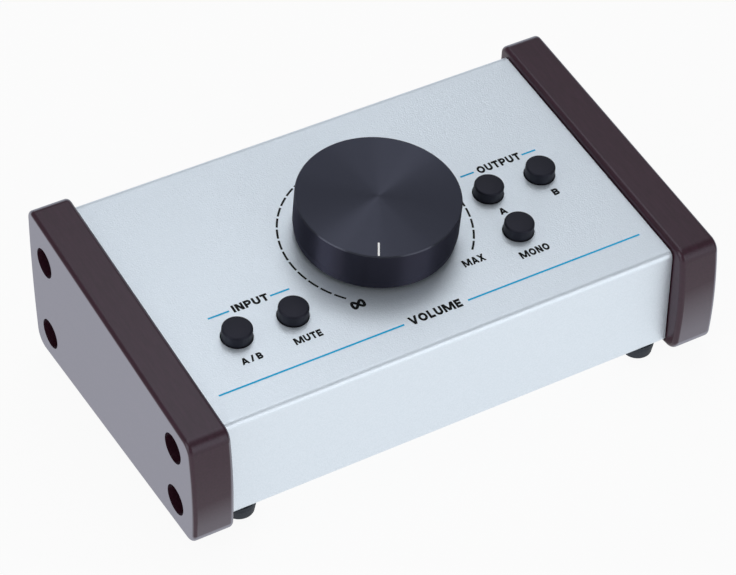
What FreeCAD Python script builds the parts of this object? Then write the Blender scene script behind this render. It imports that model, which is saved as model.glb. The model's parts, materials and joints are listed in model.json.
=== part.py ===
import FreeCAD, Part
import math
import os

# Desktop monitor controller: a wedge-shaped metal box between two solid wooden cheeks, with one large
# volume knob and five push buttons on its sloping panel, and a row of sockets at the rear.
#
# Millimetres. +X is the user's right, +Y the rear, +Z up. The origin is on the table, under the middle of
# the footprint. Pieces on the panel are built flat, at (x, s, w): s runs up the slope from the front fold
# and w stands out of the panel's outer face. They are then tilted into place.

os.makedirs("parts", exist_ok=True)

# ---------------------------------------------------------------- driving dimensions

# Metal box
body_width = 162.0
body_depth = 101.6
front_height = 37.4  # underside to front fold
panel_slope = 7.8  # degrees
cover_sheet = 1.5
fold_radius = 2.2  # outer radius of the fold between front and panel
cover_side_gap = 0.4  # shadow gap between the panel's side edges and the cheeks
cover_rear_flange = 12.0
cover_return = 12.5  # front edge turned in under the floor
chassis_sheet = 1.2
chassis_bend = 1.5  # outer radius of the chassis and rear panel bends
chassis_top_flange = 7.0
rear_lip = 5.0
rear_side_flange = 12.0

# Cheeks
cheek_thickness = 14.25
cheek_front_overhang = 5.8
cheek_rear_overhang = 3.8
cheek_rise = 2.45  # above the panel, square to it
cheek_drop = 1.7  # below the box
cheek_front_bow = 1.4
cheek_rear_bow = 1.0
cheek_top_front_radius = 4.5
cheek_top_rear_radius = 3.2
cheek_low_rear_radius = 6.0
cheek_low_front_radius = 4.5
cheek_outer_round = 1.4
cheek_inner_round = 1.6

# Cheek screws, M4 in deep counterbores
front_screw_inset = 6.35  # from the box's front
rear_screw_inset = 7.85  # from the box's rear
lower_screw_rise = 9.1
upper_front_screw_drop = 7.7
upper_rear_screw_drop = 11.4
counterbore_diameter = 10.3
counterbore_depth = 9.0
cheek_screw_diameter = 4.0
cheek_screw_head = 8.0
cheek_screw_head_height = 2.6
cheek_screw_past_nut = 0.6
clinch_nut_diameter = 7.0
clinch_nut_height = 2.8

# Small screws, M3
small_screw_diameter = 3.0
small_screw_head = 5.5
small_screw_head_height = 2.0
thread_past_sheet = 2.0
case_screw_x = 60.0

# Screw heads, as shares of the head's height and diameter
head_round = 0.4
recess_depth = 0.5
recess_arm = 0.28
recess_half_slot = 0.07

# Feet
foot_height = 5.2
foot_diameter = 10.8
foot_base_diameter = 9.4
foot_band = 1.6  # straight upper part of its side
foot_edge_radius = 0.9
foot_side_inset = 7.0  # from the box's side to the foot's centre
foot_end_inset = 5.9  # from the box's front or rear to the foot's centre
foot_recess_diameter = 6.2
foot_recess_depth = 3.2

# Control board and its pillars
board_thickness = 1.6
board_gap = 14.0  # panel's inner face to the board
control_board_side_gap = 9.0  # from the box's side to the board
control_board_front = 18.0  # s of the board's front edge
control_board_length = 52.0
pillar_diameter = 5.5
pillar_edge = 5.0  # pillar's centre to the board's edge
pillar_bore_depth = 6.0

# Volume knob
knob_s = 50.5  # from the front fold, up the slope
knob_diameter = 53.0
knob_height = 14.5
knob_lift = 1.4  # panel to the knob's lower edge
knob_top_thickness = 2.5
knob_wall = 2.2
knob_rim_chamfer = 0.35
knob_bevel_height = 3.0  # steep bevel round the lower edge
knob_bevel_inset = 0.5
pointer_width = 0.6
pointer_length = 5.6
pointer_rim_gap = 0.3  # from the groove's end to the rim's chamfer
pointer_depth = 0.35
pointer_angle = -120.0  # at the minimum stop, from +X, anticlockwise seen from above
hub_diameter = 14.0
hub_spigot_diameter = 8.0
hub_spigot_height = 1.0
set_screw_diameter = 3.0
set_screw_lift = 9.0  # above the panel

# Potentiometer
pot_case_side = 20.0
pot_case_wall = 1.5
bushing_diameter = 8.0
bushing_height = 5.5  # above the panel
bushing_flange_diameter = 12.0
bushing_flange = 0.8
shaft_diameter = 6.0
washer_diameter = 12.0
washer_thickness = 0.6
pot_nut_flats = 11.0
pot_nut_height = 2.0
track_thickness = 0.8
wiper_diameter = 15.0
wiper_thickness = 0.8
wiper_shoe = 1.0

# Push buttons
cap_diameter = 9.8
cap_hole_gap = 0.35  # round the cap, in its hole in the panel
cap_stand = 4.3  # cap's top above the panel when it is out
cap_height = 7.8
cap_dome = 0.3
cap_edge_radius = 0.7
cap_roof = 1.6
button_travel = 2.8
outer_button_inset = 20.25  # from the box's side
inner_button_inset = 39.9  # from the box's side
button_shift = 0.3  # both groups of buttons sit this far to the right
front_row_s = 20.0  # in front of the knob's centre
output_row_s = 1.5
switch_side = 8.5
switch_height = 8.0
switch_floor = 0.8
switch_roof = 1.0
switch_cavity = 6.2
plunger_side = 3.4
plunger_flange_diameter = 5.6
plunger_flange = 1.0
plunger_pin_diameter = 1.8
spring_diameter = 4.8
spring_wire = 0.35
spring_turns = 5

# Rear sockets
jack_pitch = 18.5
outer_jack_inset = 15.25  # from the box's side
jack_middle_x = -12.75  # middle of the middle pair
jack_width = 15.6
jack_body_height = 16.0
jack_body_length = 27.0
jack_bore = 6.5
jack_bore_depth = 29.5
jack_thread_diameter = 9.0
jack_nut_flats = 13.0
jack_nut_height = 2.2
jack_thread_past_nut = 0.9
mini_jack_x = 19.0
mini_jack_width = 11.0
mini_jack_body_height = 6.0
mini_jack_length = 14.0
mini_jack_collar = 6.0
mini_jack_collar_length = 1.5
mini_jack_bore = 3.6
mini_jack_bore_depth = 14.0

# Jack board
jack_board_side_gap = 7.0  # from the box's side to the board
jack_board_length = 44.0
jack_pillar_height = 4.4
jack_pillar_inset = 13.0  # from the board's side

# Ribbon cable, ten ways, and its headers
ribbon_width = 12.7
ribbon_thickness = 0.9
ribbon_bend = 3.0
ribbon_loop = 5.5  # how far the cable runs on past each header before it turns
header_width = 18.0
header_depth = 6.0
header_height = 8.0
header_slot = 2.0
header_offset = 18.2  # how far in front of the lower header the upper one sits
jack_header_inset = 4.5  # from the board's front edge

# Clearances
sheet_gap = 0.2  # between neighbouring sheets
press_gap = 0.03  # pressed or threaded pieces, all round
hole_gap = 0.2  # round a screw in a plain hole
slide_gap = 0.3  # round a plunger
running_gap = 0.05  # round the shaft
cut_past = 1.0  # how far a cutting solid runs on past the face that it opens

# ---------------------------------------------------------------- derived places

slope = math.radians(panel_slope)
overall_depth = body_depth + cheek_front_overhang + cheek_rear_overhang
body_front = cheek_front_overhang - overall_depth / 2
body_rear = body_front + body_depth
body_bottom = foot_height
fold_z = body_bottom + front_height
side_x = body_width / 2
outer_x = side_x + cheek_thickness
floor_top = body_bottom + chassis_sheet
control_board_top = -cover_sheet - board_gap
jack_board_bottom = floor_top + jack_pillar_height
jack_board_top = jack_board_bottom + board_thickness
rear_panel_outer = body_rear - cover_sheet
rear_panel_inner = rear_panel_outer - chassis_sheet
jack_board_rear = rear_panel_inner - chassis_sheet - 2 * sheet_gap  # clear of the chassis lip
jack_board_front = jack_board_rear - jack_board_length
jack_board_half = side_x - jack_board_side_gap
control_board_half = side_x - control_board_side_gap
outer_button_x = side_x - outer_button_inset
inner_button_x = side_x - inner_button_inset
outer_jack_x = side_x - outer_jack_inset
jack_axis_z = jack_board_top + jack_body_height / 2
lower_screw_z = body_bottom + lower_screw_rise
front_screw_y = body_front + front_screw_inset
rear_screw_y = body_rear - rear_screw_inset


def panel_z(y, lift=0.0):
    """Height of the plane that lies lift above the panel's outer face, square to it."""
    return fold_z + (y - body_front) * math.tan(slope) + lift / math.cos(slope)


cheek_screw_places = [
    (front_screw_y, lower_screw_z, side_x - chassis_sheet),
    (front_screw_y, panel_z(front_screw_y) - upper_front_screw_drop, side_x - chassis_sheet),
    (rear_screw_y, lower_screw_z, side_x - 2 * chassis_sheet - sheet_gap),
    (rear_screw_y, panel_z(rear_screw_y) - upper_rear_screw_drop, side_x - 2 * chassis_sheet - sheet_gap),
]  # (y, z, inner face of the last sheet that the screw passes)

button_places = {
    "input_ab": (button_shift - outer_button_x, knob_s - front_row_s),
    "mute": (button_shift - inner_button_x, knob_s - front_row_s),
    "output_a": (button_shift + inner_button_x, knob_s - output_row_s),
    "output_b": (button_shift + outer_button_x, knob_s - output_row_s),
    "mono": (button_shift + inner_button_x, knob_s - front_row_s),
}

jack_places = {
    "output_b_left_jack": -outer_jack_x,
    "output_b_right_jack": -outer_jack_x + jack_pitch,
    "output_a_left_jack": jack_middle_x - jack_pitch / 2,
    "output_a_right_jack": jack_middle_x + jack_pitch / 2,
    "input_a_left_jack": outer_jack_x - jack_pitch,
    "input_a_right_jack": outer_jack_x,
}

foot_places = {
    "front_left_foot": (-side_x + foot_side_inset, body_front + foot_end_inset),
    "front_right_foot": (side_x - foot_side_inset, body_front + foot_end_inset),
    "rear_left_foot": (-side_x + foot_side_inset, body_rear - foot_end_inset),
    "rear_right_foot": (side_x - foot_side_inset, body_rear - foot_end_inset),
}

panel_place = FreeCAD.Placement(
    FreeCAD.Vector(0, body_front, fold_z), FreeCAD.Rotation(FreeCAD.Vector(1, 0, 0), panel_slope)
)

# ---------------------------------------------------------------- small helpers


def save(node, *solids):
    """Write one node's STEP file."""
    shape = solids[0] if len(solids) == 1 else Part.makeCompound(list(solids))
    shape.exportStep(f"parts/{node}.step")


def block(x0, x1, y0, y1, z0, z1):
    return Part.makeBox(x1 - x0, y1 - y0, z1 - z0, FreeCAD.Vector(x0, y0, z0))


def rod_x(diameter, x0, x1, y, z):
    return Part.makeCylinder(diameter / 2, x1 - x0, FreeCAD.Vector(x0, y, z), FreeCAD.Vector(1, 0, 0))


def rod_y(diameter, x, z, y0, y1):
    return Part.makeCylinder(diameter / 2, y1 - y0, FreeCAD.Vector(x, y0, z), FreeCAD.Vector(0, 1, 0))


def rod_z(diameter, x, y, z0, z1):
    return Part.makeCylinder(diameter / 2, z1 - z0, FreeCAD.Vector(x, y, z0))


def hexagon(flats, height):
    """Hexagonal prism standing on the origin."""
    corner = flats / math.sqrt(3)
    points = []
    for k in range(7):
        angle = math.radians(60 * k + 30)
        points.append(FreeCAD.Vector(corner * math.cos(angle), corner * math.sin(angle), 0))
    return Part.Face(Part.makePolygon(points)).extrude(FreeCAD.Vector(0, 0, height))


def side_slab(x0, x1, corners):
    """Slab between x0 and x1 with the side outline given by (y, z) corners."""
    points = [FreeCAD.Vector(x0, y, z) for y, z in corners + corners[:1]]
    return Part.Face(Part.makePolygon(points)).extrude(FreeCAD.Vector(x1 - x0, 0, 0))


def revolve(profile):
    """Solid of revolution about Z of an (r, z) outline."""
    points = [FreeCAD.Vector(r, 0, z) for r, z in profile + profile[:1]]
    return Part.Face(Part.makePolygon(points)).revolve(FreeCAD.Vector(), FreeCAD.Vector(0, 0, 1), 360)


def edges_along(shape, direction, test=lambda middle: True):
    """Straight edges parallel to direction whose middle passes the test."""
    found = []
    for edge in shape.Edges:
        ends = [v.Point for v in edge.Vertexes]
        if len(ends) == 2 and isinstance(edge.Curve, Part.Line):
            run = (ends[1] - ends[0]).normalize()
            if abs(run.dot(direction)) > 0.999 and test((ends[0] + ends[1]) * 0.5):
                found.append(edge)
    return found


def round_edges(shape, test):
    """Circular edges whose circle passes the test."""
    circles = [e for e in shape.Edges if not e.Degenerated and isinstance(e.Curve, Part.Circle)]
    return [e for e in circles if test(e.Curve)]


def turned(shape, placement):
    moved = shape.copy()
    moved.Placement = placement.multiply(moved.Placement)
    return moved


def on_panel(shape):
    return turned(shape, panel_place)


def mirrored(shape):
    """The left-hand copy of a right-hand piece."""
    return shape.mirror(FreeCAD.Vector(), FreeCAD.Vector(1, 0, 0))


def pan_screw(diameter, head, head_height, length):
    """Cross-recess screw along Z: the head stands on z = 0 and the shank points down."""
    body = rod_z(head, 0, 0, 0, head_height)
    rim = round_edges(body, lambda c: c.Center.z > head_height / 2)
    body = body.makeFillet(head_height * head_round, rim)
    body = body.fuse(rod_z(diameter, 0, 0, -length, 0))
    arm, slot = head * recess_arm, head * recess_half_slot
    top, deep = head_height, head_height * recess_depth
    cross = block(-arm, arm, -slot, slot, deep, top).fuse(block(-slot, slot, -arm, arm, deep, top))
    return body.cut(cross)


# ---------------------------------------------------------------- box


def box_outline(inset, front, rear, bottom):
    """Side outline of the box, inset below the panel, between a front, a rear and a bottom."""
    return [
        (front, bottom),
        (front, panel_z(front, -inset)),
        (rear, panel_z(rear, -inset)),
        (rear, bottom),
    ]


def top_cover():
    """Folded sheet: return under the floor, front, sloping panel and rear flange."""
    half = side_x - cover_side_gap
    x_axis = FreeCAD.Vector(1, 0, 0)
    outer = side_slab(-half, half, box_outline(0, body_front, body_rear, body_bottom))
    outer = outer.makeFillet(fold_radius, edges_along(outer, x_axis))
    inner = side_slab(
        -half,
        half,
        box_outline(cover_sheet, body_front + cover_sheet, rear_panel_outer, body_bottom + cover_sheet),
    )
    inner = inner.makeFillet(fold_radius - cover_sheet, edges_along(inner, x_axis))
    sheet = outer.cut(inner)
    flange_z = panel_z(body_rear) - cover_rear_flange
    return_end = body_front + cover_return
    sheet = sheet.cut(block(-half, half, return_end, body_rear, body_bottom, body_bottom + 2 * fold_radius))
    sheet = sheet.cut(block(-half, half, rear_panel_outer, body_rear, body_bottom, flange_z))
    for x, s in button_places.values():
        hole = rod_z(cap_diameter + 2 * cap_hole_gap, x, s, -2 * cover_sheet, cover_sheet)
        sheet = sheet.cut(on_panel(hole))
    bushing_hole = rod_z(bushing_diameter + 2 * press_gap, 0, knob_s, -2 * cover_sheet, cover_sheet)
    sheet = sheet.cut(on_panel(bushing_hole))
    for x, z in cover_screw_places():
        sheet = sheet.cut(rod_y(small_screw_diameter + 2 * hole_gap, x, z, rear_panel_inner, body_rear))
    for name in ("front_left_foot", "front_right_foot"):
        x, y = foot_places[name]
        hole = rod_z(small_screw_diameter + 2 * hole_gap, x, y, body_bottom, body_bottom + cover_sheet)
        sheet = sheet.cut(hole)
    return sheet


def cover_screw_places():
    """(x, z) of the screws through the cover's rear flange."""
    z = panel_z(body_rear) - cover_rear_flange / 2 - cover_sheet / 2
    return [(-case_screw_x, z), (0, z), (case_screw_x, z)]


def lip_screw_places():
    """(x, z) of the screws through the foot of the rear panel into the chassis lip."""
    z = floor_top + rear_lip / 2
    return [(-case_screw_x, z), (case_screw_x, z)]


def chassis():
    """Folded tray: floor, side walls with turned-in top flanges, front tongue and rear lip."""
    lift = cover_sheet + sheet_gap  # below the panel's outer face
    front = body_front + fold_radius + sheet_gap
    rear = rear_panel_inner - sheet_gap
    y_axis = FreeCAD.Vector(0, 1, 0)
    outer = side_slab(-side_x, side_x, box_outline(lift, front, rear, body_bottom))
    outer = outer.makeFillet(chassis_bend, edges_along(outer, y_axis) + long_top_edges(outer))
    inner = side_slab(
        chassis_sheet - side_x,
        side_x - chassis_sheet,
        box_outline(lift + chassis_sheet, front - cut_past, rear + cut_past, floor_top),
    )
    inner_bend = chassis_bend - chassis_sheet
    inner = inner.makeFillet(inner_bend, edges_along(inner, y_axis) + long_top_edges(inner))
    tray = outer.cut(inner)
    open_x = side_x - chassis_top_flange
    top = panel_z(body_rear)
    tray = tray.cut(block(-open_x, open_x, front, rear, floor_top + cover_sheet, top))
    # The floor stops behind the cover's return, and steps up onto it as a tongue.
    return_end = body_front + cover_return
    step = return_end + sheet_gap
    tongue_x = side_x - chassis_sheet
    return_top = body_bottom + cover_sheet
    tray = tray.cut(block(-side_x, side_x, front, step, body_bottom, return_top + sheet_gap))
    tongue = block(
        -tongue_x,
        tongue_x,
        front,
        step + chassis_sheet,
        return_top + sheet_gap,
        return_top + sheet_gap + chassis_sheet,
    )
    riser = block(
        -tongue_x, tongue_x, step, step + chassis_sheet, body_bottom, return_top + sheet_gap + chassis_sheet
    )
    lip = block(-open_x, open_x, rear - chassis_sheet, rear, body_bottom, floor_top + rear_lip)
    tray = tray.fuse([tongue, riser, lip]).removeSplitter()
    for y, z, _ in cheek_screw_places:
        tray = tray.cut(rod_x(cheek_screw_diameter + 2 * hole_gap, -side_x, side_x, y, z))
    for x, y in foot_places.values():
        hole = rod_z(small_screw_diameter + 2 * press_gap, x, y, body_bottom, floor_top + 2 * cover_sheet)
        tray = tray.cut(hole)
    for x, z in lip_screw_places():
        tray = tray.cut(rod_y(small_screw_diameter + 2 * press_gap, x, z, rear - rear_lip, rear))
    return tray


def long_top_edges(shape):
    """The two sloping edges along the sides of a wedge's top."""
    along = FreeCAD.Vector(0, math.cos(slope), math.sin(slope))
    return edges_along(shape, along)


def rear_panel():
    """Flat panel with forward side flanges, behind the sockets and under the cover's flange."""
    half = side_x - chassis_sheet - sheet_gap
    front = rear_panel_inner - rear_side_flange
    z_axis = FreeCAD.Vector(0, 0, 1)
    outer = side_slab(-half, half, box_outline(fold_radius + sheet_gap, front, rear_panel_outer, body_bottom))
    outer = outer.makeFillet(chassis_bend, edges_along(outer, z_axis, lambda p: p.y > rear_panel_inner))
    inner = side_slab(
        chassis_sheet - half, half - chassis_sheet, box_outline(0, front - cut_past, rear_panel_inner, 0)
    )
    panel = outer.cut(inner)
    # The flanges stop clear of the floor's bend and of the turned-in top flanges.
    low = floor_top + chassis_bend
    panel = panel.cut(block(-half, half, front, rear_panel_inner, 0, low))
    flange_drop = cover_sheet + chassis_sheet + 3 * sheet_gap
    above = side_slab(-half, half, box_outline(flange_drop, front, rear_panel_inner, fold_z + body_depth))
    panel = panel.cut(above)
    for x in jack_places.values():
        hole = rod_y(jack_thread_diameter + 2 * hole_gap, x, jack_axis_z, rear_panel_inner, rear_panel_outer)
        panel = panel.cut(hole)
    panel = panel.cut(
        rod_y(
            mini_jack_collar + 2 * hole_gap,
            mini_jack_x,
            jack_board_top + mini_jack_body_height / 2,
            rear_panel_inner,
            rear_panel_outer,
        )
    )
    for x, z in cover_screw_places():
        hole = rod_y(small_screw_diameter + 2 * press_gap, x, z, rear_panel_inner, rear_panel_outer)
        panel = panel.cut(hole)
    for x, z in lip_screw_places():
        hole = rod_y(small_screw_diameter + 2 * hole_gap, x, z, rear_panel_inner, rear_panel_outer)
        panel = panel.cut(hole)
    for y, z, _ in cheek_screw_places:
        panel = panel.cut(rod_x(cheek_screw_diameter + 2 * hole_gap, -half, half, y, z))
    return panel


# ---------------------------------------------------------------- cheeks and their screws


def right_cheek():
    """Solid cheek with bowed ends, rounded all round, and four counterbored screw holes."""
    front = body_front - cheek_front_overhang
    rear = body_rear + cheek_rear_overhang
    low = body_bottom - cheek_drop
    front_top = panel_z(front + cheek_front_bow, cheek_rise)
    rear_top = panel_z(rear - cheek_rear_bow, cheek_rise)
    low_front = FreeCAD.Vector(side_x, front + cheek_front_bow, low)
    top_front = FreeCAD.Vector(side_x, front + cheek_front_bow, front_top)
    top_rear = FreeCAD.Vector(side_x, rear - cheek_rear_bow, rear_top)
    low_rear = FreeCAD.Vector(side_x, rear - cheek_rear_bow, low)
    front_middle = FreeCAD.Vector(side_x, front, (low + front_top) / 2)
    rear_middle = FreeCAD.Vector(side_x, rear, (low + rear_top) / 2)
    outline = Part.Wire(
        [
            Part.Arc(low_front, front_middle, top_front).toShape(),
            Part.makeLine(top_front, top_rear),
            Part.Arc(top_rear, rear_middle, low_rear).toShape(),
            Part.makeLine(low_rear, low_front),
        ]
    )
    cheek = Part.Face(outline).extrude(FreeCAD.Vector(cheek_thickness, 0, 0))
    x_axis = FreeCAD.Vector(1, 0, 0)
    corners = [
        (low_front, cheek_low_front_radius),
        (top_front, cheek_top_front_radius),
        (top_rear, cheek_top_rear_radius),
        (low_rear, cheek_low_rear_radius),
    ]
    for corner, radius in corners:
        near = edges_along(cheek, x_axis, lambda p: math.hypot(p.y - corner.y, p.z - corner.z) < 0.01)
        cheek = cheek.makeFillet(radius, near)
    cheek = cheek.makeFillet(cheek_outer_round, rim_edges(cheek, outer_x))
    cheek = cheek.makeFillet(cheek_inner_round, rim_edges(cheek, side_x))
    for y, z, _ in cheek_screw_places:
        cheek = cheek.cut(rod_x(counterbore_diameter, outer_x - counterbore_depth, outer_x, y, z))
        cheek = cheek.cut(rod_x(cheek_screw_diameter + 2 * hole_gap, side_x, outer_x, y, z))
    return cheek


def rim_edges(shape, x):
    """Edges that lie in the plane at x."""
    return [e for e in shape.Edges if abs(e.BoundBox.XMin - x) < 1e-4 and abs(e.BoundBox.XMax - x) < 1e-4]


def cheek_screws():
    """The right cheek's four screws, heads on the counterbore floors."""
    seat = outer_x - counterbore_depth
    screws = []
    for y, z, last_sheet in cheek_screw_places:
        length = seat - last_sheet + clinch_nut_height + cheek_screw_past_nut
        screw = pan_screw(cheek_screw_diameter, cheek_screw_head, cheek_screw_head_height, length)
        turn = FreeCAD.Rotation(FreeCAD.Vector(0, 1, 0), 90)
        screws.append(turned(screw, FreeCAD.Placement(FreeCAD.Vector(seat, y, z), turn)))
    return screws


def clinch_nuts():
    """The right side's four nuts, pressed into the last sheet that each cheek screw passes."""
    nuts = []
    for y, z, last_sheet in cheek_screw_places:
        nut = rod_x(clinch_nut_diameter, last_sheet - clinch_nut_height, last_sheet, y, z)
        bore = cheek_screw_diameter + 2 * press_gap
        nuts.append(nut.cut(rod_x(bore, last_sheet - clinch_nut_height, last_sheet, y, z)))
    return nuts


# ---------------------------------------------------------------- feet and small screws


def foot():
    """Round rubber foot standing on z = 0, with a recess below for its screw."""
    top, base = foot_diameter / 2, foot_base_diameter / 2
    hole = small_screw_diameter / 2 + hole_gap
    recess = foot_recess_diameter / 2
    body = revolve(
        [
            (hole, foot_recess_depth),
            (recess, foot_recess_depth),
            (recess, 0),
            (base, 0),
            (top, foot_height - foot_band),
            (top, foot_height),
            (hole, foot_height),
        ]
    )
    rim = round_edges(body, lambda c: c.Center.z < foot_edge_radius and c.Radius > recess + foot_edge_radius)
    return body.makeFillet(foot_edge_radius, rim)


def small_screw(length):
    return pan_screw(small_screw_diameter, small_screw_head, small_screw_head_height, length)


def foot_screws():
    """One screw a foot, head up in the recess, through the floor."""
    flip = FreeCAD.Rotation(FreeCAD.Vector(1, 0, 0), 180)
    length = foot_height - foot_recess_depth + 2 * cover_sheet + chassis_sheet
    screws = []
    for x, y in foot_places.values():
        place = FreeCAD.Placement(FreeCAD.Vector(x, y, foot_recess_depth), flip)
        screws.append(turned(small_screw(length), place))
    return screws


def case_screws():
    """Screws in the rear: three through the cover's flange, two into the chassis lip."""
    out = FreeCAD.Rotation(FreeCAD.Vector(1, 0, 0), -90)
    screws = []
    for x, z in cover_screw_places():
        length = cover_sheet + chassis_sheet + thread_past_sheet
        screws.append(turned(small_screw(length), FreeCAD.Placement(FreeCAD.Vector(x, body_rear, z), out)))
    for x, z in lip_screw_places():
        length = 2 * chassis_sheet + sheet_gap + thread_past_sheet
        place = FreeCAD.Placement(FreeCAD.Vector(x, rear_panel_outer, z), out)
        screws.append(turned(small_screw(length), place))
    return screws


# ---------------------------------------------------------------- boards


control_pillar_places = [
    (x, s)
    for x in (pillar_edge - control_board_half, control_board_half - pillar_edge)
    for s in (control_board_front + pillar_edge, control_board_front + control_board_length - pillar_edge)
]

# The jack board's rear is held by the sockets' nuts, so it has pillars only at the front.
jack_pillar_places = [
    (jack_pillar_inset - jack_board_half, jack_board_front + pillar_edge),
    (jack_board_half - jack_pillar_inset, jack_board_front + pillar_edge),
]

thread_bore = small_screw_diameter + 2 * press_gap
board_screw_length = board_thickness + thread_past_sheet


def control_board():
    """Board under the panel, parallel to it, with holes for its pillars' screws."""
    board = block(
        -control_board_half,
        control_board_half,
        control_board_front,
        control_board_front + control_board_length,
        control_board_top - board_thickness,
        control_board_top,
    )
    for x, s in control_pillar_places:
        hole = small_screw_diameter + 2 * hole_gap
        board = board.cut(rod_z(hole, x, s, control_board_top - board_thickness, control_board_top))
    return on_panel(board)


def jack_board():
    """Board on the floor that carries the sockets."""
    half = jack_board_half
    board = block(-half, half, jack_board_front, jack_board_rear, jack_board_bottom, jack_board_top)
    for x, y in jack_pillar_places:
        board = board.cut(rod_z(small_screw_diameter + 2 * hole_gap, x, y, jack_board_bottom, jack_board_top))
    return board


def board_pillars():
    """Four pillars clinched under the panel and two clinched into the floor."""
    pillars = []
    for x, s in control_pillar_places:
        pillar = rod_z(pillar_diameter, x, s, control_board_top, -cover_sheet)
        bore = rod_z(thread_bore, x, s, control_board_top, control_board_top + pillar_bore_depth)
        pillars.append(on_panel(pillar.cut(bore)))
    for x, y in jack_pillar_places:
        pillar = rod_z(pillar_diameter, x, y, floor_top, jack_board_bottom)
        pillars.append(pillar.cut(rod_z(thread_bore, x, y, floor_top, jack_board_bottom)))
    return pillars


def board_screws():
    """Screws that hold both boards to their pillars."""
    flip = FreeCAD.Rotation(FreeCAD.Vector(1, 0, 0), 180)
    screws = []
    for x, s in control_pillar_places:
        place = FreeCAD.Placement(FreeCAD.Vector(x, s, control_board_top - board_thickness), flip)
        screws.append(on_panel(turned(small_screw(board_screw_length), place)))
    for x, y in jack_pillar_places:
        place = FreeCAD.Placement(FreeCAD.Vector(x, y, jack_board_top), FreeCAD.Rotation())
        screws.append(turned(small_screw(board_screw_length), place))
    return screws


# ---------------------------------------------------------------- volume control


knob_low = knob_lift
knob_top = knob_lift + knob_height
knob_ceiling = knob_top - knob_top_thickness
pointer_turn = FreeCAD.Placement(
    FreeCAD.Vector(0, knob_s, 0), FreeCAD.Rotation(FreeCAD.Vector(0, 0, 1), pointer_angle)
)
hub_low = bushing_height + slide_gap
pot_cavity_low = control_board_top + pot_case_wall
pot_cavity_top = -cover_sheet - pot_case_wall
pot_cavity_diameter = pot_case_side - 2 * pot_case_wall
shaft_low = pot_cavity_low + slide_gap
gang_gap = (pot_cavity_top - bushing_flange - pot_cavity_low) / 2


def at_knob(shape):
    """From knob coordinates, where +X is the pointer's direction, to the part's frame."""
    return on_panel(turned(shape, pointer_turn))


def knob_blank():
    """Turned aluminium cup before its pointer groove is cut."""
    radius, inner = knob_diameter / 2, knob_diameter / 2 - knob_wall
    spigot = hub_spigot_diameter / 2 + press_gap
    chamfer = knob_rim_chamfer
    return revolve(
        [
            (0, knob_top),
            (radius - chamfer, knob_top),
            (radius, knob_top - chamfer),
            (radius, knob_low + knob_bevel_height),
            (radius - knob_bevel_inset, knob_low),
            (inner, knob_low),
            (inner, knob_ceiling),
            (spigot, knob_ceiling),
            (spigot, knob_ceiling + hub_spigot_height),
            (0, knob_ceiling + hub_spigot_height),
        ]
    )


def pointer_bar():
    outer = knob_diameter / 2 - knob_rim_chamfer - pointer_rim_gap
    return block(
        outer - pointer_length,
        outer,
        -pointer_width / 2,
        pointer_width / 2,
        knob_top - pointer_depth,
        knob_top + cut_past,
    )


def volume_knob():
    """Cup with the pointer's groove and, opposite, the hole that reaches the set screw."""
    access = rod_x(set_screw_diameter + 2 * hole_gap, -knob_diameter, -hub_diameter / 2, 0, set_screw_lift)
    return at_knob(knob_blank().cut(pointer_bar()).cut(access))


def knob_pointer():
    """White filling of the pointer's groove."""
    return at_knob(knob_blank().common(pointer_bar()))


def knob_hub():
    """Brass hub pressed into the knob, bored for the shaft and tapped for the set screw."""
    hub = rod_z(hub_diameter, 0, 0, hub_low, knob_ceiling)
    spigot_top = knob_ceiling + hub_spigot_height - press_gap
    hub = hub.fuse(rod_z(hub_spigot_diameter, 0, 0, knob_ceiling, spigot_top))
    hub = hub.cut(rod_z(shaft_diameter + 2 * press_gap, 0, 0, hub_low, knob_ceiling))
    tapped = rod_x(set_screw_diameter + 2 * press_gap, -hub_diameter, 0, 0, set_screw_lift)
    return at_knob(hub.cut(tapped))


def knob_set_screw():
    """Headless hexagon-socket screw that bears on the shaft."""
    length = (hub_diameter - shaft_diameter) / 2 - 2 * press_gap
    start = -hub_diameter / 2
    screw = rod_x(set_screw_diameter, start, start + length, 0, set_screw_lift)
    turn = FreeCAD.Rotation(FreeCAD.Vector(0, 1, 0), 90)
    key = turned(
        hexagon(set_screw_diameter / 2, length / 2),
        FreeCAD.Placement(FreeCAD.Vector(start, 0, set_screw_lift), turn),
    )
    return at_knob(screw.cut(key))


def volume_shaft():
    """Steel shaft from the potentiometer's floor up into the knob's hub."""
    return at_knob(rod_z(shaft_diameter, 0, 0, shaft_low, knob_ceiling - slide_gap))


def volume_wipers():
    """Two wiper discs on the shaft, each with two contact shoes over its track."""
    wipers = []
    bore = shaft_diameter + 2 * press_gap
    for gang in range(2):
        low = pot_cavity_low + gang * gang_gap + track_thickness + 2 * slide_gap
        disc = rod_z(wiper_diameter, 0, 0, low, low + wiper_thickness)
        disc = disc.cut(rod_z(bore, 0, 0, low, low + wiper_thickness))
        for y in (-wiper_diameter / 3, wiper_diameter / 3):
            y0, y1 = y - wiper_shoe / 2, y + wiper_shoe / 2
            disc = disc.fuse(block(0, wiper_shoe, y0, y1, low - slide_gap, low + wiper_thickness / 2))
        wipers.append(at_knob(disc))
    return wipers


def volume_pot_tracks():
    """Two ring-shaped resistive tracks held in the case's wall."""
    tracks = []
    for gang in range(2):
        low = pot_cavity_low + gang * gang_gap
        high = low + track_thickness
        ring = rod_z(pot_cavity_diameter - 2 * press_gap, 0, 0, low, high)
        tracks.append(at_knob(ring.cut(rod_z(shaft_diameter + 4 * slide_gap, 0, 0, low, high))))
    return tracks


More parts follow.
